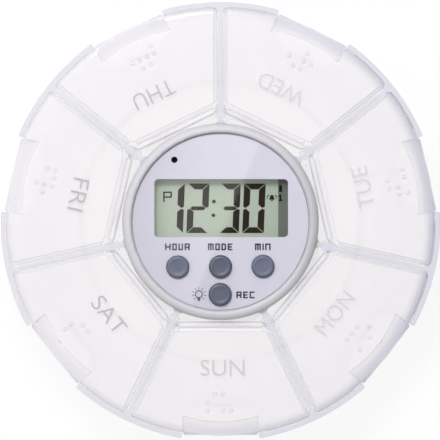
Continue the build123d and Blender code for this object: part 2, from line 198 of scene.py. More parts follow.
# ---------------------------------------------------------------- cards over the lens
# Two cards hang above the eye, a lit one that fades to one side and a black one. The
# polished face plate mirrors their common edge as a slanting sheen across the display.
CARD_HEIGHT, CARD_LONG, FADE = 1.0, 320.0, 95.0
CARDS = {"lit_card": (1, 300.0, 0.9), "black_card": (-1, 130.0, 0.0)}  # side of the edge, width, glow
EDGE_LOW, EDGE_HIGH = Vector((-8.4, -29.6)), Vector((23.2, 45.0))
slant = (EDGE_HIGH - EDGE_LOW).normalized()
across = Vector((-slant.y, slant.x))
for name, (side, wide, strength) in CARDS.items():
    paper, shade, plugs = new_material(name)
    plugs["Base Color"].default_value = (0.01, 0.01, 0.01, 1)
    away = shade.place().dot((*across, 0))
    start = EDGE_LOW.dot(across) * MM
    fade = shade.make("MapRange", plugs={"Value": away, "From Min": start, "From Max": start + FADE * MM})
    put(fade.blend((1, 1, 1), (0.12, 0.12, 0.12)), plugs["Emission Color"])
    plugs["Emission Strength"].default_value = strength
    bm = bmesh.new()
    card = bmesh.ops.create_grid(bm, x_segments=1, y_segments=1, size=0.5)["verts"]
    bmesh.ops.scale(bm, verts=card, vec=(wide * MM, CARD_LONG * MM, 1))
    bmesh.ops.rotate(bm, verts=card, matrix=Matrix.Rotation(-math.atan2(slant.x, slant.y), 3, "Z"))
    middle = (EDGE_LOW + EDGE_HIGH) / 2 + across * side * wide / 2
    bmesh.ops.translate(bm, verts=card, vec=(middle.x * MM, middle.y * MM, CARD_HEIGHT))
    hung = keep(name, bm, paper)

# ---------------------------------------------------------------- tray
# One moulding in clear, slightly milky polypropylene: floor, foot ring, outer wall with
# seven finger notches, seven dividers and the hub wall that holds the timer.
DAYS = ("sun", "mon", "tue", "wed", "thu", "fri", "sat")
STEP = 2 * math.pi / len(DAYS)
TRAY_R, WALL, HUB_R, WELL_R, HUB_STEP_R = 65.0, 1.5, 28.9, 27.4, 29.3
UNDER, FLOOR, SEAT, HUB_TOP, RIM = 1.0, 2.5, 22.75, 23.8, 24.0
DIVIDER_HALF, CORNER = 0.6, 2.0
POST_NEAR, POST_FAR, POST_HALF = 31.8, 35.0, 1.3
NOTCH_HALF, NOTCH_R, NOTCH_AT, NOTCH_WALL, NOTCH_CORNER = 11.4, 15.5, 69.0, 1.3, 0.5
DECK_APOTHEM, DECK_LOW, DECK_HIGH, DECK_GAP = 29.1, 21.3, 22.5, 0.3
FOOT_NEAR, FOOT_FAR, FOOT_TOP, FOOT_STEPS = 41.6, 43.2, 1.1, 112
RIM_ROUND, UNDER_ROUND, FLOOR_ROUND = 0.28, 1.1, 1.0
COMPARTMENT, NOTCH, OUTER_WALL, HUB = range(4)  # the parts of the tray's plan
along = Vector((math.cos(STEP / 2), math.sin(STEP / 2)))  # the divider's centre line
inward = Vector((math.sin(STEP / 2), -math.cos(STEP / 2)))  # from it into the compartment


def draw(bm, path, x, y):
    """Carry the end of a path straight on to a point."""
    end = bmesh.ops.extrude_vert_indiv(bm, verts=[path[-1]])["verts"][0]
    end.co.x, end.co.y = x * MM, y * MM
    path.append(end)


def bend(bm, path, centre, x, y, steps):
    """Carry the end of a path round a centre to a point."""
    middle = Vector((centre[0], centre[1], 0)) * MM
    start, stop = path[-1].co - middle, Vector((x, y, 0)) * MM - middle
    turn = start.xy.angle_signed(stop.xy)
    for _ in range(steps):
        made = bmesh.ops.spin(bm, geom=[path[-1]], cent=middle, axis=(0, 0, 1), angle=-turn / steps, steps=1)
        path += [v for v in made["geom_last"] if isinstance(v, bmesh.types.BMVert)]


def corner_centre(radius, off_divider):
    return math.sqrt(radius**2 - off_divider**2) * along + off_divider * inward


def half_compartment(bm):
    """Plan of half a compartment and its walls; the material index names each part."""
    hub_corner = corner_centre(HUB_R + CORNER, DIVIDER_HALF + CORNER)
    wall_corner = corner_centre(TRAY_R - WALL - CORNER, DIVIDER_HALF + CORNER)
    inside = TRAY_R - WALL
    side = NOTCH_HALF + NOTCH_WALL
    notch_corner = Vector((math.sqrt((inside - CORNER) ** 2 - (side + CORNER) ** 2), side + CORNER))
    bump_r = NOTCH_R + NOTCH_WALL
    bump = Vector((-math.sqrt((bump_r - CORNER) ** 2 - (side - CORNER) ** 2), side - CORNER))

    cell = [bm.verts.new((HUB_R * MM, 0, 0))]
    bend(bm, cell, (0, 0), *(hub_corner * HUB_R / (HUB_R + CORNER)), 8)
    bend(bm, cell, hub_corner, *(hub_corner - CORNER * inward), 4)
    step = cell[-4]  # the hub's wall ends one step into this corner
    for radius, off in ((POST_NEAR, DIVIDER_HALF), (POST_NEAR, POST_HALF),
                        (POST_FAR, POST_HALF), (POST_FAR, DIVIDER_HALF)):
        draw(bm, cell, *(radius * along + off * inward))
    draw(bm, cell, *(wall_corner - CORNER * inward))
    bend(bm, cell, wall_corner, *(wall_corner * inside / (inside - CORNER)), 5)
    bend(bm, cell, (0, 0), *(notch_corner * inside / (inside - CORNER)), 6)
    edge = cell[-1]
    bend(bm, cell, notch_corner, notch_corner.x, side, 5)
    draw(bm, cell, NOTCH_AT + bump.x, side)
    turned = bump * bump_r / (bump_r - CORNER)
    bend(bm, cell, (NOTCH_AT + bump.x, bump.y), NOTCH_AT + turned.x, turned.y, 3)
    bend(bm, cell, (NOTCH_AT, 0), NOTCH_AT - bump_r, 0, 8)

    inner = Vector((-math.sqrt((NOTCH_R - NOTCH_CORNER) ** 2 - (NOTCH_HALF - NOTCH_CORNER) ** 2),
                    NOTCH_HALF - NOTCH_CORNER))
    turned = inner * NOTCH_R / (NOTCH_R - NOTCH_CORNER)
    off = NOTCH_HALF + NOTCH_CORNER
    lip = Vector((math.sqrt((TRAY_R - NOTCH_CORNER) ** 2 - off**2), off))
    outer = [bm.verts.new(((NOTCH_AT - NOTCH_R) * MM, 0, 0))]
    bend(bm, outer, (NOTCH_AT, 0), NOTCH_AT + turned.x, turned.y, 8)
    bend(bm, outer, (NOTCH_AT + inner.x, inner.y), NOTCH_AT + inner.x, NOTCH_HALF, 3)
    draw(bm, outer, math.sqrt(inside**2 - NOTCH_HALF**2), NOTCH_HALF)
    crossing = outer[-1]
    draw(bm, outer, lip.x, NOTCH_HALF)
    bend(bm, outer, lip, *(lip * TRAY_R / (TRAY_R - NOTCH_CORNER)), 3)
    bend(bm, outer, (0, 0), *(TRAY_R * along), 8)
    draw(bm, outer, *(HUB_STEP_R * along))
    well = [bm.verts.new((WELL_R * MM, 0, 0))]
    bend(bm, well, (0, 0), *(WELL_R * along), 8)

    i, j, k = cell.index(step), cell.index(edge), outer.index(crossing)
    parts = {
        COMPARTMENT: cell,
        NOTCH: outer[: k + 1] + cell[j:],
        OUTER_WALL: outer[k:] + cell[i : j + 1],
        HUB: well + outer[-1:] + cell[i::-1],
    }
    for part, loop in parts.items():
        bm.faces.new(loop).material_index = part


bm = bmesh.new()
half_compartment(bm)
plan = bm.verts[:] + bm.edges[:] + bm.faces[:]
bmesh.ops.mirror(bm, geom=plan, matrix=Matrix(), merge_dist=1e-7, axis="Y")
bmesh.ops.rotate(bm, verts=bm.verts, matrix=Matrix.Rotation(-math.pi / 2, 3, "Z"))
plan = bm.verts[:] + bm.edges[:] + bm.faces[:]
bmesh.ops.spin(bm, geom=plan, axis=(0, 0, 1), angle=2 * math.pi - STEP, steps=len(DAYS) - 1,
               use_duplicate=True)
bmesh.ops.remove_doubles(bm, verts=bm.verts, dist=2e-6)
bmesh.ops.recalc_face_normals(bm, faces=bm.faces)


def raise_faces(bm, faces, height, keep_first=False):
    """Pull faces up to a height, leaving walls behind them."""
    made = bmesh.ops.extrude_face_region(bm, geom=faces)["geom"]
    for v in made:
        if isinstance(v, bmesh.types.BMVert):
            v.co.z = height * MM
    if not keep_first:
        bmesh.ops.delete(bm, geom=faces, context="FACES")
    return [f for f in made if isinstance(f, bmesh.types.BMFace)]


for v in bm.verts:
    v.co.z = UNDER * MM
top = raise_faces(bm, bm.faces[:], FLOOR, keep_first=True)
top = raise_faces(bm, [f for f in top if f.material_index != COMPARTMENT], SEAT)
top = raise_faces(bm, [f for f in top if f.material_index != NOTCH], HUB_TOP)
raise_faces(bm, [f for f in top if f.material_index == OUTER_WALL], RIM)
bmesh.ops.recalc_face_normals(bm, faces=bm.faces)


def flat_edges(bm, low, high, convex):
    """Edges between a level face and an upright one, at a height, bent out or in."""
    found = []
    for e in bm.edges:
        heights = [v.co.z / MM for v in e.verts]
        if low - 0.1 <= min(heights) and max(heights) <= high + 0.1 and len(e.link_faces) == 2:
            tilts = sorted(abs(f.normal.z) for f in e.link_faces)
            if tilts[0] < 0.1 and tilts[1] > 0.9 and e.is_convex == convex:
                found.append(e)
    return found


def round_edges(bm, edges, radius, segments):
    bmesh.ops.bevel(bm, geom=edges, offset=radius * MM, offset_type="OFFSET", segments=segments,
                    profile=0.5, affect="EDGES", clamp_overlap=True, material=-1)


round_edges(bm, flat_edges(bm, SEAT, RIM, True), RIM_ROUND, 3)
under_rim = [e for e in flat_edges(bm, UNDER, UNDER, True) if e.verts[0].co.xy.length > FOOT_FAR * MM]
round_edges(bm, under_rim, UNDER_ROUND, 4)
round_edges(bm, flat_edges(bm, FLOOR, FLOOR, False), FLOOR_ROUND, 3)

to_dividers = Matrix.Rotation(STEP / 2 - math.pi / 2, 3, "Z")
heptagon = bmesh.ops.create_circle(bm, segments=len(DAYS), radius=DECK_APOTHEM * MM / math.cos(STEP / 2))
ring = list({e for v in heptagon["verts"] for e in v.link_edges})
bmesh.ops.rotate(bm, verts=heptagon["verts"], matrix=to_dividers)
cut = bmesh.ops.subdivide_edges(bm, edges=ring, cuts=7)
ring = list({e for e in cut["geom"] if isinstance(e, bmesh.types.BMEdge)})
circle = bmesh.ops.create_circle(bm, segments=8 * len(DAYS), radius=(HUB_R - DECK_GAP) * MM)
bmesh.ops.rotate(bm, verts=circle["verts"], matrix=to_dividers)
ring += list({e for v in circle["verts"] for e in v.link_edges})
deck = bmesh.ops.bridge_loops(bm, edges=ring)["faces"]
for v in {v for f in deck for v in f.verts}:
    v.co.z = DECK_LOW * MM
lifted = raise_faces(bm, deck, DECK_HIGH, keep_first=True)
deck_faces = {f for v in {v for f in lifted for v in f.verts} for f in v.link_faces} | set(deck)
bmesh.ops.recalc_face_normals(bm, faces=list(deck_faces))


def spin_ring(bm, near, far, low, top, steps):
    """A ring of rectangular section about the upright axis."""
    before = set(bm.faces)
    section = bmesh.ops.create_circle(bm, segments=4, radius=MM)["verts"]
    for v, (r, z) in zip(section, ((near, low), (far, low), (far, top), (near, top))):
        v.co = (r * MM, 0, z * MM)
    section += list({e for v in section for e in v.link_edges})
    bmesh.ops.spin(bm, geom=section, axis=(0, 0, 1), angle=2 * math.pi, steps=steps, use_merge=True)
    bmesh.ops.recalc_face_normals(bm, faces=[f for f in bm.faces if f not in before])


spin_ring(bm, FOOT_NEAR, FOOT_FAR, 0, FOOT_TOP, FOOT_STEPS)
for f in bm.faces:
    f.material_index = 0

# A blue painted as shade where the clear plastic is seen edge-on or lies on the shaded side.
DEEP_BLUE = (0.36, 0.375, 0.49)


def clear_plastic(name, pale, edge, clearness, rough, thicker):
    """Milky polypropylene: nearly clear on level faces, denser on upright ones, and darkest
    on rounded edges, painted shade for the light that they bend away. clearness holds the three
    alphas. thicker tells where a face's tint deepens or turns blue, from denser plastic and from
    painted shade, and how much more or less it covers."""
    material, shade, plugs = new_material(name)
    place = shade.place()
    up = shade.make("TexCoord", out="Normal").axis("Z") ** 2.0
    bent = up * (1 - up) * 4.0
    haze = place.noise(60.0)
    level, upright, rounded = clearness
    tint = bent * (0.85 + haze * 0.15)
    cover = up * (level - upright) + upright + bent * (rounded - (level + upright) / 2)
    deeper, blue, denser, share = thicker(place, up)
    put(blue.blend(tint.either(deeper).blend(pale, edge), DEEP_BLUE), plugs["Base Color"])
    put((cover + denser) * share + (haze - 0.5) * 0.03, plugs["Alpha"])
    grain = place.noise(2600.0, 1.0)
    put(grain * 0.08 + (rough - 0.04), plugs["Roughness"])
    put(grain.bump(0.12, 0.00004), plugs["Normal"])
    plugs["IOR"].default_value = 1.49
    return material


def ramp(value, start, stop):
    """0 before start, 1 past stop, in millimetres."""
    return value.make("MapRange", plugs={"Value": value, "From Min": start * MM, "From Max": stop * MM})


def apart(u, v):
    """The distance to a point from how far it is along and how far across."""
    return (u * u + v * v) ** 0.5


def in_compartment(place):
    """A point's height and radius, its place along and across its compartment's middle line,
    how far it is from the middle of the nearest divider, and a ramp from 0 at the left to 1
    at the right that sets how much painted shade darkens the plastic there."""
    x, y, z = (place.axis(letter) for letter in "XYZ")
    turn = place.maths("ARCTAN2", y, x) + (math.pi / 2 + 2.5 * STEP)
    turn = place.maths("FLOORED_MODULO", turn, STEP) - STEP / 2
    radius = apart(x, y)
    out_along = place.maths("COSINE", turn) * radius
    off = (place.maths("SINE", turn) * radius).size()
    aside = place.maths("SINE", STEP / 2 - turn.size()) * radius
    # Painted shade: 0 at the left, growing to 1 at the right.
    shaded_side = ramp(x, -60.0, 60.0)
    return z, radius, out_along, off, aside, shaded_side


def tray_walls(place, up):
    """The tops of the walls are dense, and denser toward the right as painted shade. The outer
    wall deepens in blue toward its top edge, painted shade for its inner face seen edge-on,
    mostly on the right. The finger notches' walls and the foot ring stay clear."""
    z, radius, out_along, off, _, shaded_side = in_compartment(place)
    inside, notch_back = TRAY_R - WALL, NOTCH_R + NOTCH_WALL
    top = (z > (RIM - 0.8) * MM) * up
    climb = ramp(z, 9.0, RIM) ** 2.0 * ramp(radius, inside - 2.0, inside - 1.0) * (1 - up)
    climb = climb * ramp(radius, TRAY_R - 0.6, TRAY_R - 1.0) * (0.12 + shaded_side * shaded_side * 0.88)
    notch = ramp(apart(out_along - NOTCH_AT * MM, off), notch_back + 0.6, notch_back + 0.2)
    notch = notch * ramp(radius, inside - 0.3, inside - 0.5)
    foot = 1 - (z > (UNDER - 0.03) * MM)
    # Painted shade makes the wall tops denser toward the right.
    denser = top * (0.58 + shaded_side * 0.27) + climb * 0.9
    return top * 0.9, climb, denser, 1 - notch * 0.45 - foot * 0.85


TRAY_CLEAR = clear_plastic("tray_polypropylene", (0.89, 0.865, 0.90), (0.50, 0.49, 0.56),
                           (0.06, 0.20, 0.34), 0.28, tray_walls)


def level_normals(piece, angle):
    """Smooth shading that leaves flat faces flat and keeps edges over an angle."""
    for polygon in piece.data.polygons:
        polygon.use_smooth = True
    piece.data.set_sharp_from_angle(angle=math.radians(angle))
    finish = piece.modifiers.new("level_normals", "WEIGHTED_NORMAL")
    finish.keep_sharp, finish.weight = True, 100


tray = keep("tray_moulding", bm, TRAY_CLEAR)
level_normals(tray, angle=50)
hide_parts("tray_floor", "tray_hub", "tray_walls", "tray_dividers")
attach(tray, "tray")

# ---------------------------------------------------------------- lids
# Seven wedge lids moulded in the same plastic, a little clearer. Each has a raised panel,
# touch dots, a lip over its finger notch, and stub pins that turn in the dividers' posts.
LIP_ARC_AT, LIP_ARC_R, LIP_HALF = 22.9, 36.3, 11.3
SHOULDER_R, LID_END_R = 61.0, 63.2
LIP_LOW, PANEL_SIDE, PANEL_TOP = 23.6, 1.92, 24.2
LARGEST_FLAT, SHARP_ANGLE = 6.0, 32


def lid_edges(place, up):
    """The lip over the finger notch and the rims beside the raised panel are dense, and the
    lid's end rolls down. Their tint deepens toward the right as painted shade, and the rolled
    end turns blue there, painted shade too. The touch dots and the step down to the lip are clearer."""
    z, radius, out_along, off, aside, shaded_side = in_compartment(place)
    reach = apart(out_along - LIP_ARC_AT * MM, off)
    step = ramp((reach - LIP_ARC_R * MM).size(), 0.7, 0.5) * (z > LIP_LOW * MM)
    lip = ramp(reach, LIP_ARC_R - 0.8, LIP_ARC_R + 1.8) * (LIP_HALF * MM - off > 0.0) * 0.9
    roll = ramp(radius, SHOULDER_R - 1.0, LID_END_R)
    rim = ramp(aside, PANEL_SIDE + 0.1, PANEL_SIDE - 0.2)
    notch = ramp(apart(out_along - NOTCH_AT * MM, off), NOTCH_R + 2.5, NOTCH_R - 1.0)
    outward = ramp(radius, 38.0, 52.0)
    # Painted shade deepens the lids' tint toward the right.
    deeper = (lip.either(roll).either(rim * 0.8) * (0.5 + shaded_side * 0.4)).either(outward * 0.16) * up
    denser = deeper * 0.18 + (notch * 0.08 + outward * 0.10 - 0.03) * up
    dots = z > (PANEL_TOP + 0.02) * MM
    clear = (dots * 0.34).either(step * (1 - up) * 0.85)
    return deeper, roll * shaded_side * shaded_side * 0.6, denser, 1 - clear


LID_CLEAR = clear_plastic("lid_polypropylene", (0.80, 0.768, 0.793), (0.58, 0.57, 0.63),
                          (0.35, 0.31, 0.37), 0.22, lid_edges)


def dice(bm, pitch):
    """Cut the flats into small squares, so that none is a long sliver."""
    for axis in range(2):
        places = [v.co[axis] / MM for v in bm.verts]
        line = pitch * (math.floor(min(places) / pitch) + 1)
        while line < max(places):
            cut = [line * MM if i == axis else 0 for i in range(3)]
            normal = [1 if i == axis else 0 for i in range(3)]
            every = bm.verts[:] + bm.edges[:] + bm.faces[:]
            bmesh.ops.bisect_plane(bm, geom=every, dist=1e-7, plane_co=cut, plane_no=normal)
            line += pitch


def smooth_copy(node, name, material):
    """A merged copy of a CAD node with smooth shading, in its place."""
    bm = bmesh.new()
    bm.from_mesh(frame["nodes"][node].data)
    bmesh.ops.remove_doubles(bm, verts=bm.verts, dist=1e-6)
    bmesh.ops.dissolve_limit(bm, angle_limit=math.radians(0.3), verts=bm.verts, edges=bm.edges)
    dice(bm, LARGEST_FLAT)
    piece = keep(name, bm, material)
    level_normals(piece, SHARP_ANGLE)
    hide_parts(node)
    bodies = frame["record"]["behaviour"]["bodies"]
    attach(piece, next(body for body, nodes in bodies.items() if node in nodes))
    return piece


for day in DAYS:
    smooth_copy(f"lid_{day}", f"lid_{day}_shell", LID_CLEAR)

# ---------------------------------------------------------------- names of the days
# Three-letter names stand 0.12 mm proud of each lid, in grey, with their tops to the hub.
# Their places and tones differ a little from lid to lid.
WORD_AT, WORD_HIGH, WORD_SUNK, WORD_RISE, WORD_WEIGHT = 43.1, 4.6, 0.03, 0.12, -0.012
WORDS_OF_DAYS = {  # width, how far out and aside of its place, and tone
    "sun": (12.9, 0.0, 0.6, 0.46),
    "mon": (14.1, 0.1, 0.0, 0.50),
    "tue": (12.3, 0.2, 0.5, 0.50),
    "wed": (14.2, 0.2, 0.9, 0.50),
    "thu": (12.6, -0.6, 1.4, 0.38),
    "fri": (9.5, -0.35, 1.5, 0.36),
    "sat": (12.2, -0.2, 1.0, 0.36),
}


def raised_word(name, text, wide, material):
    """A word as a closed mesh of a given width, centred on the origin at the panel's top."""
    curve = bpy.data.curves.new(name, "FONT")
    curve.body, curve.align_x, curve.extrude, curve.offset = text, "CENTER", 0.1, WORD_WEIGHT
    curve.resolution_u = 4
    drawn = bpy.data.objects.new(name, curve)
    scene.collection.objects.link(drawn)
    mesh = bpy.data.meshes.new_from_object(drawn.evaluated_get(bpy.context.evaluated_depsgraph_get()))
    bpy.data.objects.remove(drawn)
    bm = bmesh.new()
    bm.from_mesh(mesh)
    bmesh.ops.remove_doubles(bm, verts=bm.verts, dist=1e-5)
    lows = [min(v.co[i] for v in bm.verts) for i in range(3)]
    highs = [max(v.co[i] for v in bm.verts) for i in range(3)]
    size = [wide * MM, WORD_HIGH * MM, (WORD_SUNK + WORD_RISE) * MM]
    for v in bm.verts:
        for i, middle in enumerate((0.5, 0.5, 0.0)):
            v.co[i] = ((v.co[i] - lows[i]) / (highs[i] - lows[i]) - middle) * size[i]
    bmesh.ops.translate(bm, verts=bm.verts, vec=(0, 0, (PANEL_TOP - WORD_SUNK) * MM))
    bmesh.ops.recalc_face_normals(bm, faces=bm.faces)
    return keep(name, bm, material)


def grained(name, low, high, scale, rough, detail=2.0, bump=None, specular=0.5):
    """A plain finish: two close tones mixed by a fine grain, which may stand in relief."""
    material, shade, plugs = new_material(name)
    grain = shade.place().noise(scale, detail)
    put(grain.blend(low, high), plugs["Base Color"])
    if bump:
        put(grain.bump(*bump), plugs["Normal"])
    plugs["Roughness"].default_value = rough
    plugs["Specular IOR Level"].default_value = specular
    return material


for number, (day, (wide, out, aside, tone)) in enumerate(WORDS_OF_DAYS.items()):
    low, high = (tone, tone * 0.96, tone * 1.02), (tone * 1.12, tone * 1.08, tone * 1.14)
    grey = grained(f"word_grey_{day}", low, high, 1500.0, 0.45)
    word = raised_word(f"lid_{day}_word", day.upper(), wide, grey)
    place = Matrix.Translation((aside * MM, -(WORD_AT + out) * MM, 0))
    word.data.transform(Matrix.Rotation(number * STEP, 4, "Z") @ place)
    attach(word, f"lid_{day}")

# ---------------------------------------------------------------- timer case
# A silver-grey satin moulding in two halves with a rounded ring round the face. It drops
# into the tray's hub, keyed at one place, and three screws join the halves from below.
def satin_silver(name, colour, rough, flake, toward, span, painted_shade, gap_shadow=None):
    """Painted satin plastic: fine bright flakes in a grey lacquer, darkened by painted shade
    toward one side over a span. A sheet's dark edge ring, a painted shadow of the gap round it, is given as a
    radius and a tone."""
    material, shade, plugs = new_material(name)
    place = shade.place()
    flakes = shade.make("TexVoronoi", {"feature": "F1"}, {"Vector": place, "Scale": 5200.0}, "Color")
    speck = shade.make("SeparateColor", plugs={0: flakes}, out="Red")
    dark = tuple(c * (1 - flake) for c in colour)
    bright = tuple(min(1, c * (1 + flake)) for c in colour)
    painted_shade_colour = tuple(c * painted_shade for c in colour)
    # Painted shade: the lacquer darkens toward one side.
    lacquer = ramp(place.dot(toward), *span).blend(speck.blend(dark, bright), painted_shade_colour)
    if gap_shadow:
        radius, tone = gap_shadow
        # Painted shadow of the gap between the sheet and the ring.
        past = apart(place.axis("X"), place.axis("Y")) > radius * MM
        lacquer = past.blend(lacquer, tone)
    put(lacquer, plugs["Base Color"])
    put(speck * 0.10 + (rough - 0.05), plugs["Roughness"])
    plugs["Metallic"].default_value = 0.08
    return material


# Painted shade darkens the case toward its right side.
CASE_SILVER = satin_silver("case_silver", (0.495, 0.478, 0.515), rough=0.6, flake=0.05,
                           toward=(1, 0, 0), span=(16.0, 29.0), painted_shade=0.84)
for node in ("case_front", "case_back", "battery_door"):
    smooth_copy(node, f"{node}_moulding", CASE_SILVER)

# ---------------------------------------------------------------- face sheet
# A printed sheet in pale lavender silver, stuck to the case, with a window cut for the
# display. It lies under the clear face plate.
LABEL_TOP = 25.65
# Painted shadow: a dark ring at the sheet's edge stands for the shade in the gap under the ring.
GAP_SHADOW_RING = (25.95, (0.18, 0.18, 0.21))


def dress(nodes, material):
    """Give CAD nodes that are shown as they are a material."""
    for node in nodes:
        carried = frame["nodes"][node]
        carried.data.materials.clear()
        carried.data.materials.append(material)


# Painted shade darkens the sheet toward its lower left.
lavender = satin_silver("face_print_lavender", (0.505, 0.494, 0.562), rough=0.50, flake=0.02,
                        toward=(-1.0, -0.25, 0), span=(-2.0, 24.0), painted_shade=0.86, gap_shadow=GAP_SHADOW_RING)
dress(["face_label"], lavender)

# ---------------------------------------------------------------- words on the face
# Functions printed above and beside the keys in a squared slate type, drawn as strokes of
# one width, and a lamp sign left of the lowest key.
INK_LOW, INK_TOP, STROKE, PEN_ROUND = 25.64, 25.665, 0.46, 0.42
LETTER_HIGH, LETTER_GAP = 2.05, 0.42
LETTERS = {  # width, then strokes on a unit square
    "H": (1.7, [(0, 0, 0, 1), (1, 0, 1, 1), (0, 0.5, 1, 0.5)]),
    "O": (1.4, [(0, 0, 0, 1), (1, 0, 1, 1), (0, 0, 1, 0), (0, 1, 1, 1)]),
    "U": (1.4, [(0, 0, 0, 1), (1, 0, 1, 1), (0, 0, 1, 0)]),
    "R": (1.6, [(0, 0, 0, 1), (0, 1, 1, 1), (1, 1, 1, 0.5), (0, 0.45, 0.9, 0.45), (0.7, 0.45, 1, 0)]),
    "M": (1.75, [(0, 0, 0, 1), (1, 0, 1, 1), (0, 1, 1, 1), (0.5, 0, 0.5, 1)]),
    "D": (1.45, [(0, 0, 0, 1), (0, 1, 0.75, 1), (0, 0, 0.75, 0), (1, 0.2, 1, 0.8),
                 (0.75, 1, 1, 0.8), (0.75, 0, 1, 0.2)]),
    "E": (1.45, [(0, 0, 0, 1), (0, 0, 1, 0), (0, 1, 1, 1), (0, 0.5, 0.85, 0.5)]),
    "I": (0.4, [(0, 0, 0, 1)]),
    "N": (1.65, [(0, 0, 0, 1), (1, 0, 1, 1), (0, 1, 1, 1)]),
    "C": (1.55, [(0, 0, 0, 1), (0, 0, 1, 0), (0, 1, 1, 1)]),
}
WORDS = {"HOUR": (-12.69, -7.38), "MODE": (-0.09, -7.38), "MIN": (12.47, -7.38), "REC": (7.37, -21.54)}


def stroke(bm, start, end, wide, low, top):
    """A straight pen stroke with rounded ends, as a thin closed plate."""
    start, end = Vector(start), Vector(end)
    turn = (end - start).angle_signed(Vector((1, 0)))
    middle = (start + end) / 2
    plate = bmesh.ops.create_cube(bm, size=MM)["verts"]
    bmesh.ops.scale(bm, verts=plate, vec=((end - start).length + wide, wide, top - low))
    upright = [e for e in {e for v in plate for e in v.link_edges}
               if abs(e.verts[0].co.z - e.verts[1].co.z) > 1e-6]
    rounded = bmesh.ops.bevel(bm, geom=upright, offset=wide * PEN_ROUND * MM, offset_type="OFFSET",
                              segments=3, profile=0.5, affect="EDGES", material=-1)["verts"]
    plate = list({v for v in plate if v.is_valid} | set(rounded))
    bmesh.ops.rotate(bm, verts=plate, matrix=Matrix.Rotation(turn, 3, "Z"))
    bmesh.ops.translate(bm, verts=plate, vec=Vector((middle.x, middle.y, (low + top) / 2)) * MM)


def write(bm, text, x, y):
    """Printed letters in strokes, centred on a point."""
    left = x - (sum(LETTERS[letter][0] for letter in text) + LETTER_GAP * (len(text) - 1)) / 2
    for letter in text:
        wide, strokes = LETTERS[letter]
        for u, v, p, q in strokes:
            ends = []
            for a, b in ((u, v), (p, q)):
                ends.append((left + STROKE / 2 + a * (wide - STROKE), y + (b - 0.5) * (LETTER_HIGH - STROKE)))
            stroke(bm, *ends, STROKE, INK_LOW, INK_TOP)
        left += wide + LETTER_GAP


slate_ink = grained("slate_ink", (0.012, 0.014, 0.026), (0.030, 0.033, 0.052), 3000.0, 0.5)
for text, (x, y) in WORDS.items():
    bm = bmesh.new()
    write(bm, text, x, y)
    word = keep(f"face_word_{text.lower()}", bm, slate_ink)
    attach(word, "timer")

LAMP_AT, LAMP_NEAR, LAMP_FAR = (-6.38, -21.33), 0.86, 1.16
RAYS, RAY_NEAR, RAY_FAR, RAY_WIDE, RAY_SPAN = 9, 1.55, 2.05, 0.2, 270
SOCKET_RINGS, SOCKET_WIDE = ((-1.22, 0.32), (-1.56, 0.32), (-1.86, 0.14)), 0.3
bm = bmesh.new()
spin_ring(bm, LAMP_NEAR, LAMP_FAR, INK_LOW, INK_TOP, 28)
for ray in range(RAYS):
    turn = math.radians(RAY_SPAN / (RAYS - 1) * ray - 45)
    way = Vector((math.cos(turn), math.sin(turn)))
    stroke(bm, way * RAY_NEAR, way * RAY_FAR, RAY_WIDE, INK_LOW, INK_TOP)
for height, half in SOCKET_RINGS:
    stroke(bm, (-half, height), (half, height), SOCKET_WIDE, INK_LOW, INK_TOP)
bmesh.ops.translate(bm, verts=bm.verts, vec=(LAMP_AT[0] * MM, LAMP_AT[1] * MM, 0))
lamp_sign = keep("face_lamp_sign", bm, slate_ink)
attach(lamp_sign, "timer")

# ---------------------------------------------------------------- face plate
# A clear polished plate with holes for the keys and the microphone. It is bonded over the
# printed sheet and leaves a fine dark gap inside the ring.
LENS_LOW = 25.68
lens_clear, shade, plugs = new_material("lens_acrylic")
put(shade.place().noise(900.0) * 0.03 + 0.01, plugs["Roughness"])
plugs["Base Color"].default_value = (0.985, 0.985, 1.0, 1)
plugs["Transmission Weight"].default_value = 1.0
plugs["IOR"].default_value = 1.49
lens = smooth_copy("face_lens", "face_plate", lens_clear)
for v in lens.data.vertices:
    if v.co.z < LABEL_TOP * MM + 1e-5:
        v.co.z = LENS_LOW * MM
lens.visible_shadow = lens.visible_diffuse = False

# ---------------------------------------------------------------- display
# A grey-green liquid-crystal cell behind the window, in a white frame, over a milky light
# guide and two rubber contact strips. Its grey-green film ends a little short of its right
# end, where the bare glass shows darker, and the time shows in slanted seven-bar digits.
GLASS_TOP, FILM_TOP, FILM_CORNER = 22.2, 22.24, 0.3
FILM_LEFT, FILM_RIGHT, FILM_FOOT, FILM_HEAD = -20.0, 17.07, -6.1, 14.2


def display_tone(name, low, high, rough=0.42, specular=0.5):
    """Grey-green liquid crystal with a fine grain."""
    return grained(name, low, high, 2200.0, rough, detail=1.0, specular=specular)


dress(["display_glass"], display_tone("display_glass_bare", (0.078, 0.090, 0.075), (0.100, 0.115, 0.095)))
bm = bmesh.new()
film = bmesh.ops.create_cube(bm, size=MM)["verts"]
bmesh.ops.scale(bm, verts=film, vec=(FILM_RIGHT - FILM_LEFT, FILM_HEAD - FILM_FOOT, FILM_TOP - GLASS_TOP))
middle = Vector((FILM_LEFT + FILM_RIGHT, FILM_HEAD + FILM_FOOT, FILM_TOP + GLASS_TOP)) / 2
bmesh.ops.translate(bm, verts=film, vec=middle * MM)
corners = [e for e in bm.edges if abs(e.verts[0].co.z - e.verts[1].co.z) > 1e-6]
bmesh.ops.bevel(bm, geom=corners, offset=FILM_CORNER * MM, segments=3, profile=0.5, affect="EDGES",
                material=-1)
film_green = display_tone("display_grey_green", (0.330, 0.392, 0.306), (0.392, 0.453, 0.362), 0.10, 1.0)
film = keep("display_film", bm, film_green)
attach(film, "timer")

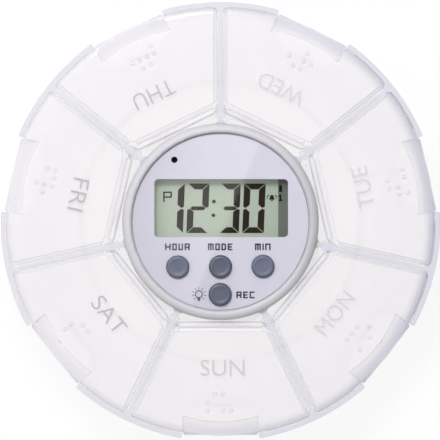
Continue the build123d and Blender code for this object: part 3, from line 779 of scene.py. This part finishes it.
milky = grained("milky_white", (0.74, 0.77, 0.73), (0.86, 0.88, 0.85), 400.0, 0.5)
dress(["display_frame", "display_backlight"], milky)
black_rubber = grained("black_rubber", (0.018, 0.018, 0.02), (0.035, 0.035, 0.038), 1800.0, 0.75,
                       bump=(0.2, 0.0001))
dress(["contact_strips", "microphone_boot"], black_rubber)

DIGITS = {  # left edge, width, bars lit from the top clockwise, a to f, and g in the middle
    "hours_tens": (-10.84, 0.0, "bc"),
    "hours_ones": (-9.84, 6.3, "abged"),
    "minutes_tens": (-0.1, 5.8, "abgcd"),
    "minutes_ones": (6.7, 6.4, "abcdef"),
}
DIGIT_LOW, DIGIT_TOP, DIGIT_FOOT, DIGIT_HEAD, SLANT = 22.25, 22.28, -3.31, 11.34, 0.04
UPRIGHT_BAR, LEVEL_BAR, MIDDLE_BAR, JOINT = 1.92, 1.72, 1.16, 0.12
digit_ink = grained("digit_black", (0.010, 0.005, 0.003), (0.018, 0.010, 0.007), 2600.0, 0.6, specular=0.1)


def lit_bar(bm, corners):
    """One bar of a digit: a thin plate with mitred ends."""
    face = bm.faces.new([bm.verts.new((x * MM, y * MM, DIGIT_LOW * MM)) for x, y in corners])
    raised = bmesh.ops.extrude_face_region(bm, geom=[face])["geom"]
    for v in raised:
        if isinstance(v, bmesh.types.BMVert):
            v.co.z = DIGIT_TOP * MM


def seven_bars(bm, left, wide, lit):
    """The lit bars of one digit: a and d are level, b and c upright, g in the middle."""
    low, high, j, w, h, g = DIGIT_FOOT, DIGIT_HEAD, JOINT, UPRIGHT_BAR, LEVEL_BAR, MIDDLE_BAR / 2
    middle, right = (low + high) / 2, left + wide
    tip, inner, outer = w * 0.4, w * 0.5, w * 0.24  # where the uprights' ends are cut to a point
    bars = {
        "a": [(left + j, high), (right - j, high), (right - w - j, high - h), (left + w + j, high - h)],
        "d": [(left + w + j, low + h), (right - w - j, low + h), (right - j, low), (left + j, low)],
        "g": [(left + tip + j, middle), (left + tip + j + g, middle + g), (right - tip - j - g, middle + g),
              (right - tip - j, middle), (right - tip - j - g, middle - g), (left + tip + j + g, middle - g)],
        "b": [(right, high - j), (right - w, high - h - j), (right - w, middle + inner + j),
              (right - tip, middle + j), (right, middle + outer)],
        "c": [(right, low + j), (right, middle - outer), (right - tip, middle - j),
              (right - w, middle - inner - j), (right - w, low + h + j)],
    }
    for bar, twin in (("e", "c"), ("f", "b")):
        bars[bar] = [(left + right - x, y) for x, y in bars[twin]]
    for bar in lit:
        lit_bar(bm, bars[bar])


def show(name, bm):
    """Finish a sign of the display."""
    bmesh.ops.recalc_face_normals(bm, faces=bm.faces)
    sign = keep(f"display_{name}", bm, digit_ink)
    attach(sign, "timer")


lean = Matrix()
lean[0][1], lean[0][3] = SLANT, -SLANT * (DIGIT_FOOT + DIGIT_HEAD) / 2 * MM
for name, (left, wide, lit) in DIGITS.items():
    bm = bmesh.new()
    seven_bars(bm, left, wide, lit)
    bm.transform(lean)
    show(name, bm)

COLON_DOTS, DOT_R = ((-1.95, 6.0), (-2.1, 1.95)), 0.56
bm = bmesh.new()
for x, y in COLON_DOTS:
    dot = bmesh.ops.create_cone(bm, cap_ends=True, segments=20, radius1=DOT_R * MM, radius2=DOT_R * MM,
                                depth=(DIGIT_TOP - DIGIT_LOW) * MM)["verts"]
    bmesh.ops.translate(bm, verts=dot, vec=Vector((x, y, (DIGIT_LOW + DIGIT_TOP) / 2)) * MM)
show("colon", bm)

SIGNS = {  # width of the strokes, then their starts and ends, from the hub's axis
    "afternoon": (0.44, [(-16.75, 6.1, -16.75, 8.75), (-16.75, 8.75, -14.6, 8.75),
                         (-14.6, 8.75, -14.6, 7.35), (-14.6, 7.35, -16.75, 7.35)]),
    "alarm_number": (0.5, [(17.75, 6.45, 17.75, 7.9), (17.75, 7.9, 17.35, 7.6), (17.4, 6.4, 18.1, 6.4)]),
    "alarm_arrow": (0.5, [(17.75, 9.1, 17.75, 10.6), (17.4, 9.15, 18.1, 9.15), (17.5, 9.75, 18.0, 9.75)]),
}
ARROW_HEAD = [(17.15, 10.1), (17.75, 11.1), (18.35, 10.1)]
for name, (wide, strokes) in SIGNS.items():
    bm = bmesh.new()
    for x, y, p, q in strokes:
        stroke(bm, (x, y), (p, q), wide, DIGIT_LOW, DIGIT_TOP)
    if name == "alarm_arrow":
        lit_bar(bm, ARROW_HEAD)
    show(name, bm)

BELL_AT = Vector((15.2, 7.1, 0))
BELL = [(-0.9, -0.55), (-0.62, 0.0), (-0.5, 0.6), (0, 1.0), (0.5, 0.6), (0.62, 0.0), (0.9, -0.55)]
CLAPPER = [(-0.26, -0.95), (-0.34, -0.66), (0.34, -0.66), (0.26, -0.95)]
SOUND = ((0.95, 0.85, 1.35, 0.35, 0.26), (1.35, 0.35, 1.45, -0.15, 0.22))  # start, end, width
bm = bmesh.new()
lit_bar(bm, BELL)
lit_bar(bm, CLAPPER)
for side in (-1, 1):
    for x, y, p, q, wide in SOUND:
        stroke(bm, (side * x, y), (side * p, q), wide, DIGIT_LOW, DIGIT_TOP)
bmesh.ops.translate(bm, verts=bm.verts, vec=BELL_AT * MM)
show("alarm_bell", bm)

# ---------------------------------------------------------------- keys
# Four keys moulded in slate-blue silicone rubber, slightly dished, each with a flange that
# holds it behind the face and a stem over its switch.
KEYS = {  # place, and tone of the rubber
    "hour": (-12.6, -13.3, 0.90),
    "mode": (0.0, -13.2, 0.66),
    "minute": (12.5, -13.1, 0.88),
    "record": (-0.1, -21.4, 0.66),
}
KEY_OUTLINE = [  # radius and height, from the middle of the dished top to the end of the stem
    (0, 26.82), (1.6, 26.84), (2.2, 26.87), (2.45, 26.98), (2.75, 26.96), (3.05, 26.8), (3.24, 26.6),
    (3.3, 26.35), (3.3, 23.35), (3.75, 23.35), (3.75, 22.6), (1.2, 22.6), (1.2, 20.3), (0, 20.3),
]


def slate_silicone(name, tone):
    """Matt silicone rubber, a little mottled, with a fine grain."""
    material, shade, plugs = new_material(name)
    place = shade.place()
    grain = place.noise(2400.0)
    cloud = place.noise(260.0, 1.0)
    low = tuple(tone * c for c in (0.068, 0.080, 0.130))
    high = tuple(tone * c for c in (0.145, 0.158, 0.227))
    put((grain * 0.4 + cloud * 0.6).blend(low, high), plugs["Base Color"])
    put(grain * 0.14 + 0.34, plugs["Roughness"])
    put(grain.bump(0.15, 0.00006), plugs["Normal"])
    return material


for key, (x, y, tone) in KEYS.items():
    bm = bmesh.new()
    path = [bm.verts.new((KEY_OUTLINE[0][0] * MM, 0, KEY_OUTLINE[0][1] * MM))]
    for r, z in KEY_OUTLINE[1:]:
        path += bmesh.ops.extrude_vert_indiv(bm, verts=[path[-1]])["verts"]
        path[-1].co = (r * MM, 0, z * MM)
    whole = bm.verts[:] + bm.edges[:]
    bmesh.ops.spin(bm, geom=whole, axis=(0, 0, 1), angle=2 * math.pi, steps=48, use_merge=True)
    bmesh.ops.remove_doubles(bm, verts=bm.verts, dist=1e-6)
    bmesh.ops.recalc_face_normals(bm, faces=bm.faces)
    bmesh.ops.translate(bm, verts=bm.verts, vec=(x * MM, y * MM, 0))
    button = keep(f"key_{key}", bm, slate_silicone(f"slate_silicone_{key}", tone))
    level_normals(button, 40)
    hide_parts(f"button_{key}")
    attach(button, f"button_{key}")

# ---------------------------------------------------------------- microphone
# A small metal can behind a hole of the face, in a black rubber boot, under black felt
# that keeps dust out.
black_felt = grained("black_felt", (0.006, 0.006, 0.007), (0.02, 0.02, 0.022), 2500.0, 0.95,
                     detail=3.0, bump=(0.6, 0.0001))
dress(["microphone"], black_felt)

# ---------------------------------------------------------------- circuit board
# A round glass-fibre board, solder-masked in green, with copper tracks that show through
# the mask and bare tinned pads where parts are soldered. Four screws hold it up.
BOARD_GREEN, TRACK_GREEN, TINNED = (0.010, 0.085, 0.035), (0.030, 0.190, 0.075), (0.62, 0.60, 0.55)
PAD_SIZE = 0.17
TRACK_PATTERN = {"Scale": 260.0, "Mortar Size": 0.10, "Mortar Smooth": 0.3, "Brick Width": 0.9,
                 "Row Height": 0.45}
solder_mask, shade, plugs = new_material("solder_mask_green")
place = shade.place()
tracks = shade.make("TexBrick", {"offset": 0.37}, {"Vector": place, **TRACK_PATTERN}, "Fac")
spots = shade.make("TexVoronoi", plugs={"Vector": place, "Scale": 330.0})
pads = shade.make("Clamp", plugs={"Value": (PAD_SIZE - spots) * 40.0})
put(pads.blend(tracks.blend(BOARD_GREEN, TRACK_GREEN), TINNED), plugs["Base Color"])
put(pads * 0.9, plugs["Metallic"])
put(pads * 0.10 + 0.28, plugs["Roughness"])
put((tracks + pads).bump(0.3, 0.00005), plugs["Normal"])
dress(["circuit_board"], solder_mask)

# ---------------------------------------------------------------- parts on the board
# Four snap-dome switches under tinned covers, one chip under a blob of black resin, a can
# crystal and a capacitor in a blue sleeve.
SWITCH_COVER_Z, CHIP_Z, SLEEVE_LOW_Z = 19.12, 16.0, 9.9
WORN = (0.5, 0.5, 0.5)


def plated_metal(name, tone, rough):
    """Plated sheet metal: fine rolling marks along one way and a few dull clouds."""
    material, shade, plugs = new_material(name)
    place = shade.place()
    rolled = shade.make("Mapping", plugs={"Vector": place, "Scale": (1.0, 14.0, 14.0)}).noise(700.0, 3.0)
    cloud = place.noise(180.0)
    put(cloud.blend(tuple(0.86 * c for c in tone), tone), plugs["Base Color"])
    put(rolled * 0.2 + cloud * 0.1 + (rough - 0.15), plugs["Roughness"])
    put(rolled.bump(0.15, 0.00003), plugs["Normal"])
    plugs["Metallic"].default_value = 1.0
    return material


def two_part(name, height, low, high, rough, low_metal=0.0):
    """One colour below a height, which may be metal, and another above it, a little worn."""
    material, shade, plugs = new_material(name)
    place = shade.place()
    above = place.axis("Z") > height * MM
    grain = place.noise(1900.0)
    put((grain * 0.16).blend(above.blend(low, high), WORN), plugs["Base Color"])
    put((1 - above) * low_metal, plugs["Metallic"])
    put(grain * 0.12 + (rough - 0.06), plugs["Roughness"])
    return material


nickel = plated_metal("nickel_plate", (0.66, 0.64, 0.60), 0.30)
dress(["switches"], two_part("switch_cover_and_stem", SWITCH_COVER_Z, (0.55, 0.54, 0.52),
                             (0.02, 0.02, 0.022), 0.38, 0.9))
dress(["main_chip"], two_part("black_resin", CHIP_Z, (0.012, 0.012, 0.013), (0.02, 0.02, 0.021), 0.30))
dress(["capacitor"], two_part("capacitor_sleeve", SLEEVE_LOW_Z, (0.62, 0.62, 0.63),
                              (0.014, 0.026, 0.085), 0.32, 0.9))
dress(["crystal"], nickel)

# ---------------------------------------------------------------- speaker and leads
# A small moving-coil speaker that faces the grille in the base, and four soft PVC leads,
# red and black, from it and from the cells up to the board.
SPEAKER_AT = (0.0, -18.6)
black_cone, shade, plugs = new_material("speaker_mylar_and_can")
to_middle = (-SPEAKER_AT[0] * MM, -SPEAKER_AT[1] * MM, 0.0)
centred = shade.make("Mapping", plugs={"Vector": shade.place(), "Location": to_middle})
rings = shade.make("TexWave", {"wave_type": "RINGS", "rings_direction": "Z"},
                   {"Vector": centred, "Scale": 260.0}, "Fac")
put(rings.blend((0.10, 0.10, 0.105), (0.30, 0.30, 0.31)), plugs["Base Color"])
put(rings * 0.15 + 0.30, plugs["Roughness"])
plugs["Metallic"].default_value = 0.7
dress(["speaker"], black_cone)

pvc, shade, plugs = new_material("lead_insulation")
place = shade.place()
colour = (place.axis("X") > 0.0).blend((0.014, 0.014, 0.015), (0.48, 0.015, 0.012))
put((place.noise(500.0) * 0.12).blend(colour, (0.6, 0.55, 0.55)), plugs["Base Color"])
plugs["Roughness"].default_value = 0.42
dress(["leads"], pvc)

# ---------------------------------------------------------------- cells and contacts
# Two AAA cells in plain sleeves, dark grey with a pale band at the positive end, between
# nickel-plated plates and short coil springs.
BAND_X, CAP_X, BOTTOM_X = 12.5, 21.35, 21.85
CELLS = {"cell_rear": 1, "cell_front": -1}  # which way the positive end points
for node, plus in CELLS.items():
    jacket, shade, plugs = new_material(f"{node}_jacket")
    place = shade.place()
    x = place.axis("X") * plus
    metal = (x > CAP_X * MM).either(x * -1.0 > BOTTOM_X * MM)
    print_grain = place.noise(900.0)
    dark = print_grain.blend((0.050, 0.056, 0.066), (0.070, 0.076, 0.086))
    pale = print_grain.blend((0.42, 0.44, 0.46), (0.50, 0.52, 0.54))
    sleeve = (x > BAND_X * MM).blend(dark, pale)
    put(metal.blend(sleeve, (0.68, 0.67, 0.65)), plugs["Base Color"])
    put(metal * 0.6, plugs["Metallic"])
    put(print_grain * 0.08 + 0.24, plugs["Roughness"])
    dress([node], jacket)
dress(["contact_plates", "contact_springs"], nickel)

# ---------------------------------------------------------------- screws
# Cross-head tapping screws in zinc-plated steel: four hold the board and three, in deep
# bores, hold the two halves of the case together.
dress(["board_screws", "case_screws"], plated_metal("zinc_plate", (0.55, 0.56, 0.58), 0.36))
